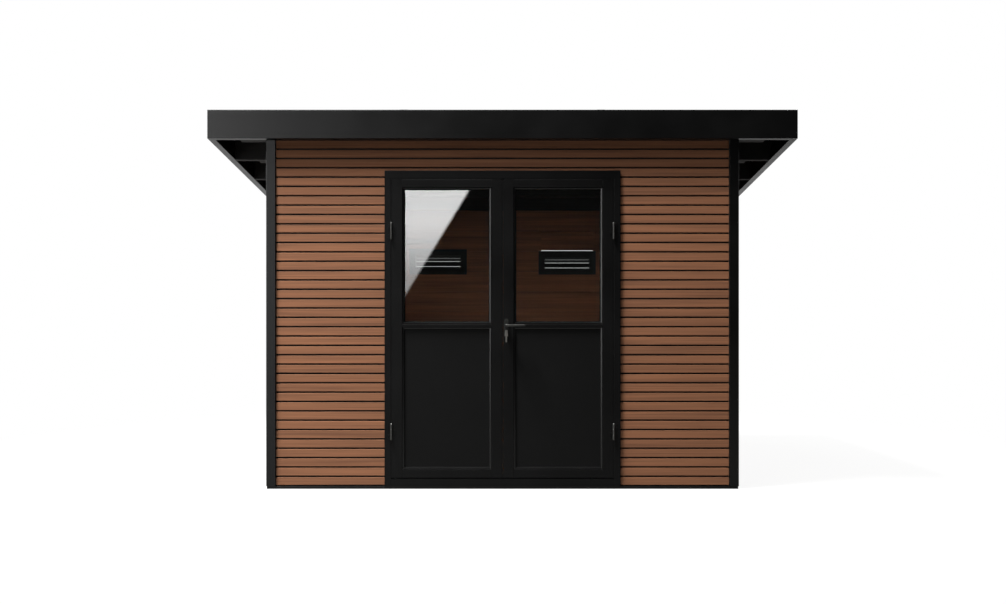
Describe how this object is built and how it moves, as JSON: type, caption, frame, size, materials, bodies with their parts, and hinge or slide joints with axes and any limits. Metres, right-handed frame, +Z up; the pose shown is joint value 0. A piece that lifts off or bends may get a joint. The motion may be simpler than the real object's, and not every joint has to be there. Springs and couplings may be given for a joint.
{
  "type": "garden house",
  "caption": "Garden house with a pent roof, horizontal board walls between dark corner posts, a wide roof overhang at the sides and a half-glazed double door.",
  "frame": {"origin": "on the ground, at the middle of the floor's underside", "axes": "+Z up, +X to the right and +Y to the back as seen from the front, so the door faces -Y"},
  "size_m": [3.724, 2.502, 2.395],
  "materials": {
    "wall_boards": "oiled or wood-composite boards, matte",
    "black_metal": "black powder coat, satin",
    "black_timber": "black stain, matte",
    "door_metal": "black powder coat, satin",
    "door_panel": "black faced panel, satin",
    "door_glass": "clear, polished",
    "hardware": "dark satin steel",
    "vent_plastic": "black moulded, matte",
    "floor": "planed boards, matte",
    "roofing_sheet": "roofing membrane, matte"
  },
  "bodies": {
    "house": {"floor_panel": "floor", "front_and_back_base_rails": "black_metal", "side_base_rails": "black_metal", "front_left_post": "black_metal", "front_right_post": "black_metal", "back_left_post": "black_metal", "back_right_post": "black_metal", "front_wall_left": "wall_boards", "front_wall_right": "wall_boards", "front_wall_over_door": "wall_boards", "left_wall": "wall_boards", "right_wall": "wall_boards", "back_wall_lower": "wall_boards", "back_wall_beside_vents": "wall_boards", "back_wall_upper": "wall_boards", "left_vent": "vent_plastic", "right_vent": "vent_plastic", "main_roof_beams": "black_timber", "roof_joists": "black_timber", "eaves_blocking": "black_timber", "front_fascia": "black_metal", "back_fascia": "black_metal", "left_fascia": "black_metal", "right_fascia": "black_metal", "roof_deck": "black_timber", "roof_membrane": "roofing_sheet", "door_frame_jambs": "door_metal", "door_frame_head": "door_metal", "door_frame_sill": "door_metal", "frame_hinge_knuckles": "hardware"},
    "left_door": {"left_door_stiles": "door_metal", "left_door_rails": "door_metal", "left_door_glass": "door_glass", "left_door_panel": "door_panel", "left_door_beads": "door_metal", "left_door_hinge_knuckles": "hardware"},
    "right_door": {"right_door_stiles": "door_metal", "right_door_rails": "door_metal", "right_door_glass": "door_glass", "right_door_panel": "door_panel", "right_door_beads": "door_metal", "right_door_hinge_knuckles": "hardware", "handle_backplates": "hardware", "lock_cylinder": "hardware", "door_key": "hardware"},
    "lever": {"door_lever": "hardware"}
  },
  "joints": [
    {"name": "left_door_swing", "type": "hinge", "parent": "house", "child": "left_door", "pos_m": [-0.705, -1.208, 1], "axis": [0, 0, -1], "range_deg": [0, 110]},
    {"name": "right_door_swing", "type": "hinge", "parent": "house", "child": "right_door", "pos_m": [0.705, -1.208, 1], "axis": [0, 0, 1], "range_deg": [0, 110]},
    {"name": "lever_turn", "type": "hinge", "parent": "right_door", "child": "lever", "pos_m": [0.024, -1.2, 1.037], "axis": [0, 1, 0], "range_deg": [0, 40], "stiffness_Nm_per_rad": 2, "springref_deg": -14.32}
  ]
}
